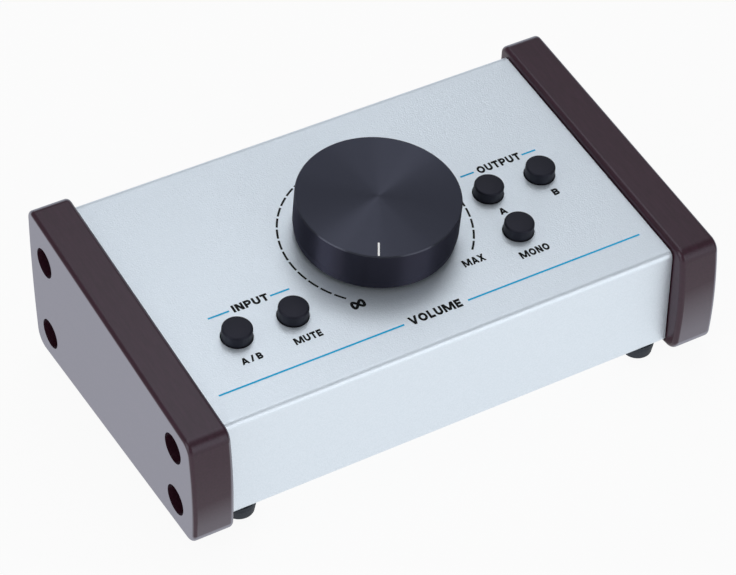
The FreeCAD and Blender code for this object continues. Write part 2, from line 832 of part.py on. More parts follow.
def volume_pot_case():
    """Square case that stands on the control board and meets the panel's inner face."""
    half = pot_case_side / 2
    case = block(-half, half, knob_s - half, knob_s + half, control_board_top, -cover_sheet)
    case = case.cut(rod_z(pot_cavity_diameter, 0, knob_s, pot_cavity_low, pot_cavity_top))
    case = case.cut(rod_z(bushing_diameter + 2 * press_gap, 0, knob_s, pot_cavity_top, -cover_sheet))
    return on_panel(case)


def volume_bushing():
    """Threaded bushing, flanged inside the case, through the panel."""
    flange_low = pot_cavity_top - bushing_flange
    bushing = rod_z(bushing_diameter, 0, knob_s, flange_low, bushing_height)
    bushing = bushing.fuse(rod_z(bushing_flange_diameter, 0, knob_s, flange_low, pot_cavity_top))
    bore = shaft_diameter + 2 * running_gap
    return on_panel(bushing.cut(rod_z(bore, 0, knob_s, flange_low, bushing_height)))


def volume_washer():
    washer = rod_z(washer_diameter, 0, knob_s, 0, washer_thickness)
    return on_panel(washer.cut(rod_z(bushing_diameter + 2 * hole_gap, 0, knob_s, 0, washer_thickness)))


def volume_nut():
    nut = hexagon(pot_nut_flats, pot_nut_height)
    nut = turned(nut, FreeCAD.Placement(FreeCAD.Vector(0, knob_s, washer_thickness), FreeCAD.Rotation()))
    top = washer_thickness + pot_nut_height
    return on_panel(nut.cut(rod_z(bushing_diameter + 2 * press_gap, 0, knob_s, washer_thickness, top)))


# ---------------------------------------------------------------- push buttons


switch_roof_top = control_board_top + switch_height
cavity_low = control_board_top + switch_floor
cavity_top = switch_roof_top - switch_roof
flange_top = cavity_top - slide_gap
flange_low = flange_top - plunger_flange
pin_low = cavity_low + button_travel + slide_gap
cap_top = cap_stand
cap_low = cap_top - cap_height
stem_top = cap_top - cap_roof


def button_cap(x, s):
    """Round cap with a slightly domed top and a square socket for the plunger."""
    radius = cap_diameter / 2
    sphere_radius = (radius**2 + cap_dome**2) / (2 * cap_dome)
    ball = Part.makeSphere(sphere_radius, FreeCAD.Vector(0, 0, cap_top - sphere_radius))
    cap = rod_z(cap_diameter, 0, 0, cap_low, cap_top).common(ball)
    rim = round_edges(cap, lambda c: c.Center.z > cap_top - 2 * cap_dome)
    cap = cap.makeFillet(cap_edge_radius, rim)
    half = plunger_side / 2 + press_gap
    cap = cap.cut(block(-half, half, -half, half, cap_low, stem_top + press_gap))
    return on_panel(turned(cap, FreeCAD.Placement(FreeCAD.Vector(x, s, 0), FreeCAD.Rotation())))


def button_plunger(x, s):
    """Moving core: square stem up into the cap, stop flange, and a pin inside the spring."""
    half = plunger_side / 2
    plunger = block(x - half, x + half, s - half, s + half, flange_low, stem_top)
    plunger = plunger.fuse(rod_z(plunger_flange_diameter, x, s, flange_low, flange_top))
    plunger = plunger.fuse(rod_z(plunger_pin_diameter, x, s, pin_low, flange_low))
    return on_panel(plunger)


def switch_housing(x, s):
    """Square housing on the control board with a round cavity and a square mouth."""
    half, mouth = switch_side / 2, plunger_side / 2 + slide_gap
    housing = block(x - half, x + half, s - half, s + half, control_board_top, switch_roof_top)
    housing = housing.cut(rod_z(switch_cavity, x, s, cavity_low, cavity_top))
    mouth_hole = block(x - mouth, x + mouth, s - mouth, s + mouth, cavity_top, switch_roof_top)
    return on_panel(housing.cut(mouth_hole))


def return_spring(x, s):
    """Coil spring between the housing's floor and the plunger's flange, of eight-sided wire."""
    coil_radius = (spring_diameter - spring_wire) / 2
    free = flange_low - slide_gap - cavity_low - spring_wire
    helix = Part.makeHelix(free / spring_turns, free, coil_radius)
    points = []
    for k in range(9):
        angle = math.radians(45 * k)
        out, up = math.cos(angle) * spring_wire / 2, math.sin(angle) * spring_wire / 2
        points.append(FreeCAD.Vector(coil_radius + out, 0, up))
    coil = Part.Wire(helix).makePipeShell([Part.makePolygon(points)], True, True)
    place = FreeCAD.Placement(FreeCAD.Vector(x, s, cavity_low + spring_wire / 2), FreeCAD.Rotation())
    return on_panel(turned(coil, place))


# ---------------------------------------------------------------- sockets and ribbon cable


def jack(x):
    """6.3 mm socket: moulded body on the jack board, threaded nose through the rear panel, blind bore."""
    half = jack_width / 2
    body_end = rear_panel_inner - jack_body_length
    mouth = rear_panel_outer + jack_nut_height + jack_thread_past_nut
    body_top = jack_board_top + jack_body_height
    body = block(x - half, x + half, body_end, rear_panel_inner, jack_board_top, body_top)
    nose = rod_y(jack_thread_diameter, x, jack_axis_z, rear_panel_inner, mouth)
    return body.fuse(nose).cut(rod_y(jack_bore, x, jack_axis_z, mouth - jack_bore_depth, mouth))


def jack_nuts():
    upright = FreeCAD.Rotation(FreeCAD.Vector(1, 0, 0), -90)
    bore = jack_thread_diameter + 2 * press_gap
    nuts = []
    for x in jack_places.values():
        place = FreeCAD.Placement(FreeCAD.Vector(x, rear_panel_outer, jack_axis_z), upright)
        nut = turned(hexagon(jack_nut_flats, jack_nut_height), place)
        end = rear_panel_outer + jack_nut_height
        nuts.append(nut.cut(rod_y(bore, x, jack_axis_z, rear_panel_outer, end)))
    return nuts


def mini_jack():
    """3.5 mm socket: low body on the jack board with a short collar through the rear panel."""
    x, half = mini_jack_x, mini_jack_width / 2
    z = jack_board_top + mini_jack_body_height / 2
    mouth = rear_panel_outer + mini_jack_collar_length
    body = block(
        x - half,
        x + half,
        rear_panel_inner - mini_jack_length,
        rear_panel_inner,
        jack_board_top,
        jack_board_top + mini_jack_body_height,
    )
    body = body.fuse(rod_y(mini_jack_collar, x, z, rear_panel_inner, mouth))
    return body.cut(rod_y(mini_jack_bore, x, z, mouth - mini_jack_bore_depth, mouth))


def header():
    """Ribbon connector standing on z = 0, with a slot in its top for the cable."""
    body = block(-header_width / 2, header_width / 2, -header_depth / 2, header_depth / 2, 0, header_height)
    half_x, half_y = ribbon_width / 2 + press_gap, ribbon_thickness / 2 + hole_gap
    return body.cut(block(-half_x, half_x, -half_y, half_y, header_height - header_slot, header_height))


jack_header_y = jack_board_front + jack_header_inset
control_header_s = (jack_header_y - header_offset - body_front) / math.cos(slope)
control_header_place = panel_place.multiply(
    FreeCAD.Placement(
        FreeCAD.Vector(0, control_header_s, control_board_top - board_thickness),
        FreeCAD.Rotation(FreeCAD.Vector(1, 0, 0), 180),
    )
)
jack_header_place = FreeCAD.Placement(FreeCAD.Vector(0, jack_header_y, jack_board_top), FreeCAD.Rotation())


def ribbon_cable():
    """Flat cable that leaves each header straight, and takes up its slack in one S between them."""
    slot_floor = FreeCAD.Vector(0, 0, header_height - header_slot / 2)
    start = control_header_place.multVec(slot_floor)
    end = jack_header_place.multVec(slot_floor)
    low = control_header_place.multVec(FreeCAD.Vector(0, 0, header_height + ribbon_loop))
    high_z = jack_header_place.Base.z + header_height + ribbon_loop
    middle_y = (low.y + end.y) / 2
    corners = [
        start,
        low,
        FreeCAD.Vector(0, middle_y, low.z),
        FreeCAD.Vector(0, middle_y, high_z),
        FreeCAD.Vector(0, end.y, high_z),
        end,
    ]
    edges, here = [], corners[0]
    for before, corner, after in zip(corners, corners[1:], corners[2:]):
        arrive, leave = (before - corner).normalize(), (after - corner).normalize()
        half_turn = math.acos(arrive.dot(leave)) / 2
        reach = ribbon_bend / math.tan(half_turn)
        first, last = corner + arrive * reach, corner + leave * reach
        bisector = (arrive + leave).normalize()
        middle = corner + bisector * (ribbon_bend / math.sin(half_turn) - ribbon_bend)
        edges.append(Part.makeLine(here, first))
        edges.append(Part.Arc(first, middle, last).toShape())
        here = last
    edges.append(Part.makeLine(here, corners[-1]))
    half_x, half_t = ribbon_width / 2, ribbon_thickness / 2
    across = (corners[1] - corners[0]).normalize().cross(FreeCAD.Vector(1, 0, 0))
    outline = [(-half_x, -half_t), (half_x, -half_t), (half_x, half_t), (-half_x, half_t), (-half_x, -half_t)]
    section = [start + FreeCAD.Vector(x, 0, 0) + across * t for x, t in outline]
    return Part.Wire(edges).makePipeShell([Part.makePolygon(section)], True, False)


# ---------------------------------------------------------------- write every node

save("top_cover", top_cover())
save("chassis", chassis())
save("rear_panel", rear_panel())

cheek = right_cheek()
save("right_cheek", cheek)
save("left_cheek", mirrored(cheek))
screws = cheek_screws()
save("right_cheek_screws", *screws)
save("left_cheek_screws", *[mirrored(screw) for screw in screws])
nuts = clinch_nuts()
save("clinch_nuts", *nuts, *[mirrored(nut) for nut in nuts])

for name, (x, y) in foot_places.items():
    save(name, turned(foot(), FreeCAD.Placement(FreeCAD.Vector(x, y, 0), FreeCAD.Rotation())))
save("foot_screws", *foot_screws())
save("case_screws", *case_screws())

save("control_board", control_board())
save("jack_board", jack_board())
save("board_pillars", *board_pillars())
save("board_screws", *board_screws())

save("volume_knob", volume_knob())
save("knob_pointer", knob_pointer())
save("knob_hub", knob_hub())
save("knob_set_screw", knob_set_screw())
save("volume_shaft", volume_shaft())
save("volume_wipers", *volume_wipers())
save("volume_pot_tracks", *volume_pot_tracks())
save("volume_pot_case", volume_pot_case())
save("volume_bushing", volume_bushing())
save("volume_washer", volume_washer())
save("volume_nut", volume_nut())

for name, (x, s) in button_places.items():
    save(f"{name}_cap", button_cap(x, s))
    save(f"{name}_plunger", button_plunger(x, s))
    save(f"{name}_switch", switch_housing(x, s))
    save(f"{name}_spring", return_spring(x, s))

for name, x in jack_places.items():
    save(name, jack(x))
save("jack_nuts", *jack_nuts())
save("input_b_mini_jack", mini_jack())

save("ribbon_cable", ribbon_cable())
save("ribbon_headers", turned(header(), control_header_place), turned(header(), jack_header_place))
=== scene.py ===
import json
import math

import bpy
from mathutils import Matrix, Vector


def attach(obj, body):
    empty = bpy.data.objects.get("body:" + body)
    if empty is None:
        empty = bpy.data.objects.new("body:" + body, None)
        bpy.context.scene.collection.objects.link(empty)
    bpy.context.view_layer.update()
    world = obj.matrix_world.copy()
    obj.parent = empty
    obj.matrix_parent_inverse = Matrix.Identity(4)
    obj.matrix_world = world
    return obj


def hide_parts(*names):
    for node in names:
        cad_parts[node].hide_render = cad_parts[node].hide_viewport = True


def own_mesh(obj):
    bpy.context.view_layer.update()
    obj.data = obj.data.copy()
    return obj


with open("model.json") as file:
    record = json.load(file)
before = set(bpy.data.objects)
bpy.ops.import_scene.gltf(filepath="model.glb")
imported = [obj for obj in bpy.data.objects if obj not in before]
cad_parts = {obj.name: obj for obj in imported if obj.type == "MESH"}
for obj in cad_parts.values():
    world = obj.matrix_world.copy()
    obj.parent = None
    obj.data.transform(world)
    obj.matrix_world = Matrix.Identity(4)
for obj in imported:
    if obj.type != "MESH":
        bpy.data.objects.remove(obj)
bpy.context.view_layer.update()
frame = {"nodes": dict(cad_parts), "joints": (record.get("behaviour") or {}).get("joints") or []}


# ------------------------------------------------------------------ studio
# A light table: a sheet of acrylic lit from below. It glows white and reflects little, so what
# stands on it casts hardly any shadow. Three softboxes stand overhead, at the left and in front, in
# a room with a pale ceiling and grey walls, and a white sheet hangs behind the table. A long lens
# looks down from the front left.

camera_azimuth = math.radians(-30.5057)
camera_elevation = math.radians(40.6431)
camera_roll = math.radians(0.3782)
camera_target = Vector((-0.0016112, 0.0012239, 0.0254559))
camera_distance = 0.9447869
nearest_seen = 0.01
focal_length_px = 2929.7922
frame_width_px = 736
half_pixel = 0.5 / frame_width_px
sensor_width_mm = 36


def placed(origin, x_axis, y_axis, z_axis):
    """The matrix of an object at origin, whose own axes point along these three."""
    return Matrix.Translation(origin) @ Matrix((x_axis, y_axis, z_axis)).transposed().to_4x4()


away = Vector(
    (
        math.sin(camera_azimuth) * math.cos(camera_elevation),
        -math.cos(camera_azimuth) * math.cos(camera_elevation),
        math.sin(camera_elevation),
    )
)
level_right = Vector((math.cos(camera_azimuth), math.sin(camera_azimuth), 0))
level_up = away.cross(level_right)
right = level_right * math.cos(camera_roll) + level_up * math.sin(camera_roll)
up = level_up * math.cos(camera_roll) - level_right * math.sin(camera_roll)
camera_data = bpy.data.cameras.new("camera")
camera_data.sensor_width = sensor_width_mm
camera_data.lens = sensor_width_mm * focal_length_px / frame_width_px
camera_data.shift_x = -half_pixel
camera_data.shift_y = half_pixel
camera_data.clip_start = nearest_seen
camera = bpy.data.objects.new("camera", camera_data)
camera.matrix_world = placed(camera_target + away * camera_distance, right, up, away)
bpy.context.scene.collection.objects.link(camera)
bpy.context.scene.camera = camera
bpy.context.scene.view_settings.view_transform = "Standard"


def linear(colour):
    """A hex sRGB colour as the linear RGBA that a socket takes, by the sRGB standard's curve."""
    parts = [int(colour[i : i + 2], 16) / 255 for i in (1, 3, 5)]
    return [p / 12.92 if p <= 0.04045 else ((p + 0.055) / 1.055) ** 2.4 for p in parts] + [1.0]


def add_node(owner, kind, inputs, stops=(), **settings):
    """Adds one node with its settings. An input is a value or the output that feeds it, and stops
    are the places and colours of a colour ramp."""
    node = owner.node_tree.nodes.new(kind)
    for setting, value in settings.items():
        setattr(node, setting, value)
    for socket, value in inputs.items():
        if isinstance(value, bpy.types.NodeSocket):
            owner.node_tree.links.new(value, node.inputs[socket])
        else:
            node.inputs[socket].default_value = value
    for k, (place, colour) in enumerate(stops):
        elements = node.color_ramp.elements
        element = elements[k] if k < len(elements) else elements.new(place)
        element.position = place
        element.color = linear(colour)
    return node


def new_material(name, sockets):
    """A material whose shader has these values set on its own sockets."""
    material = bpy.data.materials.new(name)
    material.use_nodes = True
    shader = material.node_tree.nodes["Principled BSDF"]
    for socket, value in sockets.items():
        shader.inputs[socket].default_value = value
    return material


def mesh_piece(name, points, faces, material):
    """A new object from points in metres."""
    mesh = bpy.data.meshes.new(name)
    mesh.from_pydata(points, [], faces)
    mesh.materials.append(material)
    piece = bpy.data.objects.new(name, mesh)
    bpy.context.scene.collection.objects.link(piece)
    return piece


table_half = 3.0
lit_acrylic = new_material(
    "lit_acrylic_sheet",
    {
        "Base Color": linear("#303030"),
        "Roughness": 0.7,
        "Specular IOR Level": 0.2,
        "Emission Color": linear("#ffffff"),
        "Emission Strength": 0.935,
    },
)
corners = [(x * table_half, y * table_half, 0) for x, y in ((-1, -1), (1, -1), (1, 1), (-1, 1))]
table = mesh_piece("light_table", corners, [(0, 1, 2, 3)], lit_acrylic)

# The room's light changes with how high a direction points, from 0 level to 1 overhead, and the
# sheet's also with how far to the rear it points, up to 1 due rear.
wall_glow, ceiling_glow, sheet_glow = 0.26, 0.36, 0.7
ceiling_starts, ceiling_full = 0.3, 0.75
sheet_side, sheet_middle = 0.6, 0.85
sheet_top, sheet_full = 0.5, 0.3

room = bpy.data.worlds.new("white_room")
room.use_nodes = True
backdrop = room.node_tree.nodes["Background"]
backdrop.inputs["Color"].default_value = linear("#fafcff")
towards = add_node(room, "ShaderNodeTexCoord", {}).outputs["Generated"]
direction = add_node(room, "ShaderNodeSeparateXYZ", {"Vector": towards}).outputs
ceiling = add_node(
    room,
    "ShaderNodeMapRange",
    {
        "Value": direction["Z"],
        "From Min": ceiling_starts,
        "From Max": ceiling_full,
        "To Min": wall_glow,
        "To Max": ceiling_glow,
    },
    interpolation_type="SMOOTHSTEP",
).outputs["Result"]
behind = add_node(
    room,
    "ShaderNodeMapRange",
    {
        "Value": direction["Y"],
        "From Min": sheet_side,
        "From Max": sheet_middle,
        "To Max": sheet_glow,
    },
).outputs["Result"]
low = add_node(
    room,
    "ShaderNodeMapRange",
    {"Value": direction["Z"], "From Min": sheet_top, "From Max": sheet_full},
).outputs["Result"]
glow = add_node(room, "ShaderNodeMath", {0: behind, 1: low, 2: ceiling}, operation="MULTIPLY_ADD")
room.node_tree.links.new(glow.outputs["Value"], backdrop.inputs["Strength"])
bpy.context.scene.world = room


def softbox(name, place, width, height, watts, turn=0.0):
    """A softbox aimed at the object, in metres, turned in its own plane by some degrees."""
    light = bpy.data.lights.new(name, "AREA")
    light.shape = "RECTANGLE"
    light.size = width
    light.size_y = height
    light.energy = watts
    lamp = bpy.data.objects.new(name, light)
    lamp.location = place
    aim = (camera_target - Vector(place)).to_track_quat("-Z", "Y").to_matrix()
    lamp.rotation_euler = (aim @ Matrix.Rotation(math.radians(turn), 3, "Z")).to_euler()
    bpy.context.scene.collection.objects.link(lamp)


softbox("overhead_softbox", (0.14, 0.22, 1.3), width=0.65, height=1.3, watts=4.05, turn=-15.0)
softbox("left_softbox", (-1.16, -0.14, 0.45), width=0.75, height=0.9, watts=5.6)
softbox("front_softbox", (0.42, -1.1, 0.45), width=0.75, height=0.9, watts=3.7)


# ------------------------------------------------------------------ sheet metal box
# The cover, the tray under it and the rear panel are folded steel sheet, powder coated in silver:
# a satin skin with a fine grain, a soft orange peel and aluminium flake. The grain shows most
# where the light is low.

coating_grain = 0.45e-3
grain_height = 0.09e-3
orange_peel = 1.4e-3
peel_height = 0.06e-3


def feed(material, socket, output):
    """Links an output to one of the shader's own sockets."""
    shader = material.node_tree.nodes["Principled BSDF"]
    material.node_tree.links.new(output, shader.inputs[socket])


def finish(material, *names):
    """Gives CAD nodes their finish."""
    for name in names:
        for place in frame["nodes"][name].material_slots:
            place.material = material


silver_coat = new_material("silver_powder_coat", {"Metallic": 0.8, "Roughness": 0.44})
where = add_node(silver_coat, "ShaderNodeTexCoord", {}).outputs["Object"]
grain = add_node(
    silver_coat,
    "ShaderNodeTexNoise",
    {"Vector": where, "Scale": 1 / coating_grain, "Detail": 2.0, "Roughness": 0.6},
).outputs["Fac"]
peel = add_node(
    silver_coat,
    "ShaderNodeTexNoise",
    {"Vector": where, "Scale": 1 / orange_peel, "Detail": 1.0},
).outputs["Fac"]
flake = add_node(
    silver_coat,
    "ShaderNodeValToRGB",
    {"Fac": grain},
    stops=((0.34, "#dce6ef"), (0.66, "#e2ebf4")),
)
feed(silver_coat, "Base Color", flake.outputs["Color"])
fine_bump = add_node(
    silver_coat, "ShaderNodeBump", {"Height": grain, "Strength": 0.9, "Distance": grain_height}
).outputs["Normal"]
soft_bump = add_node(
    silver_coat,
    "ShaderNodeBump",
    {"Height": peel, "Strength": 0.25, "Distance": peel_height, "Normal": fine_bump},
)
feed(silver_coat, "Normal", soft_bump.outputs["Normal"])
finish(silver_coat, "top_cover", "chassis", "rear_panel")


# ------------------------------------------------------------------ printing on the panel
# Screen-printed ink, blue for the rules and black for the plain names of the controls and the
# dashed ring round the knob, lies on the coating as a film a few hundredths of a millimetre thick.
# Places on it are in millimetres: x from the middle, s up the slope from the front fold.

mm_per_m = 1000
knob_s = 50.5  # where the volume knob's axis meets the panel
ink_lift = 0.03e-3
ink_relief = 0.03e-3
rule_width = 0.67
ring_centre = (0.3, 50.6)
ring_radius = 31.35
dash_width = 0.7
dash_count = 30
dash_pitch = 8.88  # degrees from one dash to the next, clockwise
dash_gap = 1.6  # degrees
first_dash = -137.0  # degrees anticlockwise from the panel's right
dash_steps = 6

joints = {joint["name"]: joint for joint in frame["joints"]}
knob_centre = Vector(joints["volume_turn"]["pos_m"])
panel_up = -Vector(joints["volume_turn"]["axis"]).normalized()
panel_right = Vector((1, 0, 0))
panel_back = panel_up.cross(panel_right)
panel_place = placed(knob_centre + panel_up * ink_lift, panel_right, panel_back, panel_up)


def on_panel(x, s):
    """A printed point as coordinates of the panel's own frame, in metres."""
    return (x / mm_per_m, (s - knob_s) / mm_per_m, 0)


def ink(name, colour):
    """A satin film of ink, slightly uneven because the coating's grain shows through."""
    material = new_material(
        name, {"Base Color": linear(colour), "Roughness": 0.55, "Specular IOR Level": 0.2}
    )
    spot = add_node(material, "ShaderNodeTexCoord", {}).outputs["Object"]
    cover = add_node(
        material, "ShaderNodeTexNoise", {"Vector": spot, "Scale": 1 / coating_grain, "Detail": 1.0}
    )
    relief = add_node(
        material,
        "ShaderNodeBump",
        {"Height": cover.outputs["Fac"], "Strength": 0.3, "Distance": ink_relief},
    )
    feed(material, "Normal", relief.outputs["Normal"])
    return material


blue_ink = ink("blue_screen_ink", "#00b0e2")
black_ink = ink("black_screen_ink", "#08090c")


def printed(name, points, faces, material):
    """A printed piece, from points on the panel."""
    piece = mesh_piece(name, points, faces, material)
    piece.matrix_world = panel_place
    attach(piece, "body")


# Each rule runs from one x to another, with its middle at one s.
rules = {
    "volume": ((-76.6, -11.9, 11.8), (11.2, 75.6, 11.8)),
    "input": ((-65.1, -57.7, 40.6), (-43.3, -36.5, 40.6)),
    "output": ((37.0, 42.1, 59.05), (60.5, 65.8, 59.05)),
}
for group, lines in rules.items():
    points, faces = [], []
    for x0, x1, s in lines:
        s0, s1 = s - rule_width / 2, s + rule_width / 2
        faces.append(range(len(points), len(points) + 4))
        points += [on_panel(x0, s0), on_panel(x1, s0), on_panel(x1, s1), on_panel(x0, s1)]
    printed(f"{group}_rules", points, faces, blue_ink)

points, faces = [], []
for dash in range(dash_count):
    begin = first_dash - dash * dash_pitch
    first = len(points)
    for step in range(dash_steps + 1):
        angle = math.radians(begin - (dash_pitch - dash_gap) * step / dash_steps)
        for radius in (ring_radius - dash_width / 2, ring_radius + dash_width / 2):
            x = ring_centre[0] + radius * math.cos(angle)
            s = ring_centre[1] + radius * math.sin(angle)
            points.append(on_panel(x, s))
    for step in range(dash_steps):
        k = first + 2 * step
        faces.append((k, k + 1, k + 3, k + 2))
printed("volume_ring", points, faces, black_ink)


# Letters are drawn in straight and bent strokes, in shares of a capital's height.
stem = 0.27
half_stem = stem / 2
bend_cuts = 24


def upright(x, low=0.0, high=1.0):
    """Upright stroke, with its middle at x."""
    x0, x1 = x - half_stem, x + half_stem
    return [[(x0, low), (x1, low), (x1, high), (x0, high)]]


def level(x0, x1, y):
    """Level stroke, with its middle at y."""
    y0, y1 = y - half_stem, y + half_stem
    return [[(x0, y0), (x1, y0), (x1, y1), (x0, y1)]]


def slant(x0, y0, x1, y1):
    """Leaning stroke, cut off level at both ends."""
    reach = half_stem * math.hypot(x1 - x0, y1 - y0) / abs(y1 - y0)
    return [[(x0 - reach, y0), (x0 + reach, y0), (x1 + reach, y1), (x1 - reach, y1)]]


def bend(x, y, across, high, start, end):
    """Part of an oval ring round (x, y), from one angle to another in degrees. The outer oval
    reaches this far across and this high from its centre."""
    quads = []
    for k in range(bend_cuts):
        a, b = (math.radians(start + (end - start) * step / bend_cuts) for step in (k, k + 1))
        quad = []
        for angle, inset in ((a, 0), (b, 0), (b, stem), (a, stem)):
            u = x + (across - inset) * math.cos(angle)
            v = y + (high - inset) * math.sin(angle)
            quad.append((u, v))
        quads.append(quad)
    return quads


# Each letter's width and strokes. The level stroke at its foot or its head has its middle half a
# stroke inside, so that it ends flush.
at_foot, at_head = half_stem, 1 - half_stem
letter_strokes = {
    "A": (0.98, slant(0.11, 0, 0.49, 1) + slant(0.87, 0, 0.49, 1) + level(0.22, 0.76, 0.3)),
    "B": (
        0.8,
        upright(half_stem)
        + level(0.1, 0.5, at_foot)
        + level(0.1, 0.5, 0.5)
        + level(0.1, 0.5, at_head)
        + bend(0.49, 0.7025, 0.27, 0.2975, -90, 90)
        + bend(0.5, 0.2975, 0.3, 0.2975, -90, 90),
    ),
    "E": (
        0.72,
        upright(half_stem)
        + level(0.1, 0.72, at_foot)
        + level(0.1, 0.66, 0.5)
        + level(0.1, 0.72, at_head),
    ),
    "I": (stem, upright(half_stem)),
    "L": (0.68, upright(half_stem) + level(0.1, 0.68, at_foot)),
    "M": (
        1.3,
        upright(half_stem)
        + upright(1.3 - half_stem)
        + slant(0.18, 1, 0.65, 0.08)
        + slant(1.12, 1, 0.65, 0.08),
    ),
    "N": (0.86, upright(half_stem) + upright(0.86 - half_stem) + slant(0.14, 1, 0.72, 0)),
    "O": (0.98, bend(0.49, 0.5, 0.49, 0.5, 0, 360)),
    "P": (
        0.8,
        upright(half_stem)
        + level(0.1, 0.48, at_head)
        + level(0.1, 0.48, 0.43)
        + bend(0.48, 0.6675, 0.32, 0.3325, -90, 90),
    ),
    "T": (0.8, upright(0.4) + level(0, 0.8, at_head)),
    "U": (
        0.86,
        upright(half_stem, 0.4)
        + upright(0.86 - half_stem, 0.4)
        + bend(0.43, 0.4, 0.43, 0.4, 180, 360),
    ),
    "V": (0.96, slant(0.11, 1, 0.48, 0) + slant(0.85, 1, 0.48, 0)),
    "X": (0.94, slant(0.12, 0, 0.82, 1) + slant(0.82, 0, 0.12, 1)),
    "/": (0.5, slant(0.07, 0, 0.43, 1)),
    " ": (0.12, []),
}
letter_gap = 0.13

# What each word says, and the x0, x1, s0 and s1 of the box on the panel that its capitals fill.
words = {
    "volume_word": ("VOLUME", -9.8, 8.85, 10.4, 13.8),
    "input_word": ("INPUT", -56.5, -44.0, 39.3, 42.3),
    "output_word": ("OUTPUT", 43.5, 59.7, 57.5, 60.7),
    "mute_word": ("MUTE", -45.8, -36.2, 19.1, 21.9),
    "input_ab_word": ("A / B", -64.2, -57.0, 19.2, 21.8),
    "mono_word": ("MONO", 36.0, 46.7, 19.1, 22.1),
    "maximum_word": ("MAX", 17.7, 25.5, 24.0, 27.0),
    "output_a_letter": ("A", 40.2, 42.7, 38.6, 41.4),
    "output_b_letter": ("B", 60.4, 62.7, 38.5, 41.3),
}
for name, (letters, x0, x1, s0, s1) in words.items():
    quads, pen = [], 0.0
    for letter in letters:
        width, strokes = letter_strokes[letter]
        quads += [[(pen + x, y) for x, y in quad] for quad in strokes]
        pen += width + letter_gap
    length = pen - letter_gap
    points, faces = [], []
    for quad in quads:
        faces.append(range(len(points), len(points) + 4))
        points += [on_panel(x0 + x / length * (x1 - x0), s0 + y * (s1 - s0)) for x, y in quad]
    printed(name, points, faces, black_ink)

# The sign for silence is a lying figure eight, drawn as one closed stroke.
silence_centre = (-20.5, 25.5)
silence_size = (3.95, 2.5)
silence_stroke = 0.98
silence_steps = 48

half_width, half_height = silence_size[0] / 2, silence_size[1] / 2
points, faces = [], []
for step in range(silence_steps):
    turn = 2 * math.pi * step / silence_steps
    x, y = half_width * math.cos(turn), half_height * math.sin(2 * turn)
    dx, dy = -half_width * math.sin(turn), 2 * half_height * math.cos(2 * turn)
    run = math.hypot(dx, dy)
    for aside in (-silence_stroke / 2, silence_stroke / 2):
        u = silence_centre[0] + x - dy / run * aside
        v = silence_centre[1] + y + dx / run * aside
        points.append(on_panel(u, v))
for step in range(silence_steps):
    a, b = 2 * step, 2 * ((step + 1) % silence_steps)
    faces.append((a, a + 1, b + 1, b))
printed("silence_sign", points, faces, black_ink)


# ------------------------------------------------------------------ cheeks
# Two solid beech cheeks, each held by four screws sunk in deep counterbores. They are stained dark
# burgundy, which hides nearly all of the grain, and sprayed with a satin lacquer that brightens at
# a glancing angle. The inner faces are stained only.

grain_width = 0.8e-3
grain_length = 30e-3
pore_depth = 0.1e-3
facing_inwards, facing_outwards = -0.9, -0.4  # x of a face's normal, counted away from the box
sheen_starts, sheen_full = 0.38, 0.6  # how glancing it is, from 0 straight on to 1 edge on
least_sheen = 0.12

lacquered_beech = new_material(
    "stained_lacquered_beech",
    {"Roughness": 0.35, "IOR": 2.4, "Specular Tint": linear("#e9efff")},
)
where = add_node(lacquered_beech, "ShaderNodeTexCoord", {}).outputs["Object"]
glance = add_node(lacquered_beech, "ShaderNodeLayerWeight", {"Blend": 0.5}).outputs["Facing"]
normal = add_node(lacquered_beech, "ShaderNodeNewGeometry", {}).outputs["Normal"]
x_of_normal = add_node(lacquered_beech, "ShaderNodeSeparateXYZ", {"Vector": normal}).outputs["X"]
x_of_place = add_node(lacquered_beech, "ShaderNodeSeparateXYZ", {"Vector": where}).outputs["X"]
side = add_node(lacquered_beech, "ShaderNodeMath", {0: x_of_place}, operation="SIGN")
outward = add_node(
    lacquered_beech,
    "ShaderNodeMath",
    {0: x_of_normal, 1: side.outputs["Value"]},
    operation="MULTIPLY",
)
sprayed = add_node(
    lacquered_beech,
    "ShaderNodeMapRange",
    {
        "Value": outward.outputs["Value"],
        "From Min": facing_inwards,
        "From Max": facing_outwards,
    },
)
glancing = add_node(
    lacquered_beech,
    "ShaderNodeMapRange",
    {"Value": glance, "From Min": sheen_starts, "From Max": sheen_full},
)
lacquer = add_node(
    lacquered_beech,
    "ShaderNodeMath",
    {0: glancing.outputs["Result"], 1: sprayed.outputs["Result"]},
    operation="MULTIPLY",
)
sheen = add_node(
    lacquered_beech,
    "ShaderNodeMapRange",
    {"Value": lacquer.outputs["Value"], "To Min": least_sheen, "To Max": 1.0},
)
feed(lacquered_beech, "Specular IOR Level", sheen.outputs["Result"])
along = add_node(
    lacquered_beech,
    "ShaderNodeMapping",
    {"Vector": where, "Scale": (1 / grain_width, 1 / grain_length, 1 / grain_width)},
)
fibre = add_node(
    lacquered_beech,
    "ShaderNodeTexNoise",
    {"Vector": along.outputs["Vector"], "Scale": 1.0, "Detail": 4.0},
).outputs["Fac"]
stain = add_node(
    lacquered_beech,
    "ShaderNodeValToRGB",
    {"Fac": fibre},
    stops=((0.3, "#2c0e18"), (0.75, "#361624")),
)
feed(lacquered_beech, "Base Color", stain.outputs["Color"])
pores = add_node(
    lacquered_beech, "ShaderNodeBump", {"Height": fibre, "Strength": 0.03, "Distance": pore_depth}
)
feed(lacquered_beech, "Normal", pores.outputs["Normal"])
finish(lacquered_beech, "left_cheek", "right_cheek")


# ------------------------------------------------------------------ screws, pillars and other steel
# Cross-recessed pan-head screws, the knob's set screw, clinch nuts, board pillars, the volume
# control's shaft and the springs' wire are steel, bright zinc plated: a slightly cloudy grey
# metal, smoother in some places than in others.

